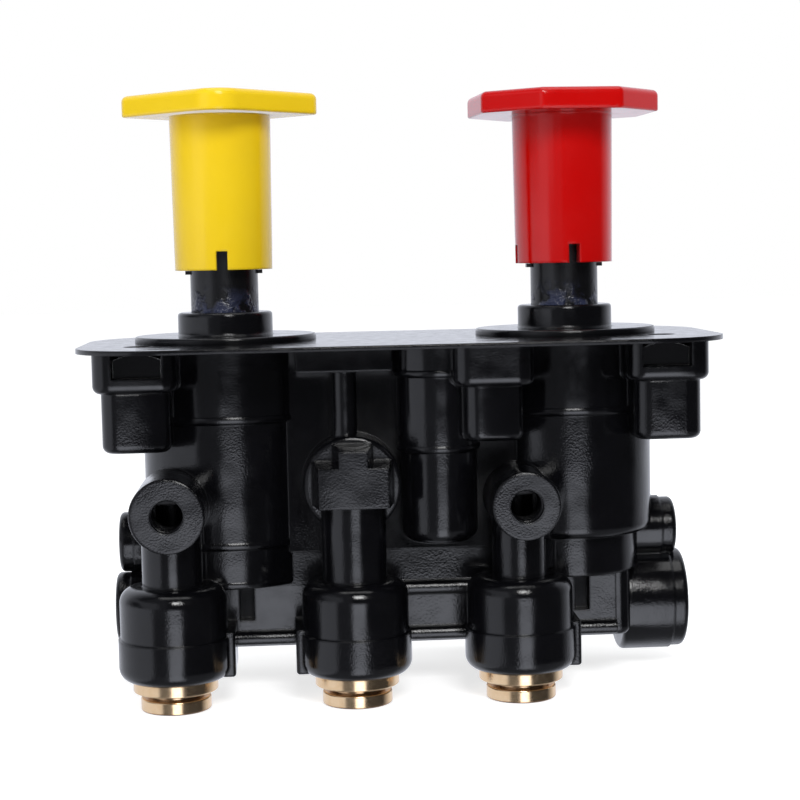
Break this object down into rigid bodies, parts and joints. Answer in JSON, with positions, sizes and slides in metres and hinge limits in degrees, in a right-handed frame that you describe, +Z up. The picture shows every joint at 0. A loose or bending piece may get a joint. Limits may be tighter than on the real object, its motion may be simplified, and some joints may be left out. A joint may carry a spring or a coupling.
{
  "type": "dash control valve",
  "caption": "Push-pull dash air valve with diamond and octagon knobs on sprung plungers, flanged body, push-in tube ports and spools inside.",
  "frame": {"origin": "centre of the four panel screws, on the top face of the flange, midway between the two plungers", "axes": "+Z up through the panel along the plungers, -Y towards the side with the tube and gauge ports, +X towards the octagon knob"},
  "size_m": [0.15, 0.074, 0.1426],
  "materials": {
    "black_nylon": "satin moulded glass-filled nylon",
    "black_acetal": "fine satin, lightly greased",
    "black_rubber": "matte rubber",
    "black_steel": "black phosphate, lightly oiled",
    "zinc_steel": "zinc-plated",
    "spring_steel": "drawn wire",
    "yellow_plastic": "smooth gloss",
    "red_plastic": "smooth gloss",
    "satin_brass": "turned, satin"
  },
  "bodies": {
    "housing": {"valve_body": "black_nylon", "mounting_nuts": "black_steel", "check_seat_sleeve": "satin_brass", "check_valve_cap": "black_nylon", "check_cap_o_ring": "black_rubber", "left_port_plug": "satin_brass", "right_port_plug": "satin_brass", "exhaust_flap": "black_rubber", "park_plunger_guide": "black_nylon", "park_stem_o_ring": "black_rubber", "park_guide_o_ring": "black_rubber", "park_plunger_spring": "spring_steel", "park_spool_sleeve": "black_acetal", "park_sleeve_o_rings": "black_rubber", "trailer_plunger_guide": "black_nylon", "trailer_stem_o_ring": "black_rubber", "trailer_guide_o_ring": "black_rubber", "trailer_plunger_spring": "spring_steel", "trailer_spool_sleeve": "black_acetal", "trailer_sleeve_o_rings": "black_rubber", "left_port_cap": "satin_brass", "left_port_o_ring": "black_rubber", "left_tube_support": "satin_brass", "middle_port_cap": "satin_brass", "middle_port_o_ring": "black_rubber", "middle_tube_support": "satin_brass", "right_port_cap": "satin_brass", "right_port_o_ring": "black_rubber", "right_tube_support": "satin_brass"},
    "check_shuttle": {"check_shuttle": "black_acetal", "shuttle_seals": "black_rubber"},
    "park_button": {"park_knob": "yellow_plastic", "park_plunger": "black_acetal", "park_spool": "black_acetal", "park_spool_o_rings": "black_rubber", "park_spool_screw": "zinc_steel"},
    "trailer_button": {"trailer_knob": "red_plastic", "trailer_plunger": "black_acetal", "trailer_spool": "black_acetal", "trailer_spool_o_rings": "black_rubber", "trailer_spool_screw": "zinc_steel"},
    "left_collet": {"left_port_collet": "satin_brass"},
    "middle_collet": {"middle_port_collet": "satin_brass"},
    "right_collet": {"right_port_collet": "satin_brass"}
  },
  "joints": [
    {"name": "park_push_pull", "type": "slide", "parent": "housing", "child": "park_button", "axis": [0, 0, 1], "range_m": [-0.0088, 0], "stiffness_N_per_m": 700, "springref_m": 0.02, "deforming": ["park_plunger_spring"]},
    {"name": "trailer_push_pull", "type": "slide", "parent": "housing", "child": "trailer_button", "axis": [0, 0, 1], "range_m": [-0.0088, 0], "stiffness_N_per_m": 700, "springref_m": 0.02, "deforming": ["trailer_plunger_spring"]},
    {"name": "left_release", "type": "slide", "parent": "housing", "child": "left_collet", "axis": [0, 0, 1], "range_m": [0, 0.0012]},
    {"name": "middle_release", "type": "slide", "parent": "housing", "child": "middle_collet", "axis": [0, 0, 1], "range_m": [0, 0.0012]},
    {"name": "right_release", "type": "slide", "parent": "housing", "child": "right_collet", "axis": [0, 0, 1], "range_m": [0, 0.0012]},
    {"name": "check_shuttle_slide", "type": "slide", "parent": "housing", "child": "check_shuttle", "axis": [0, 1, 0], "range_m": [-0.0015, 0.0015]}
  ]
}
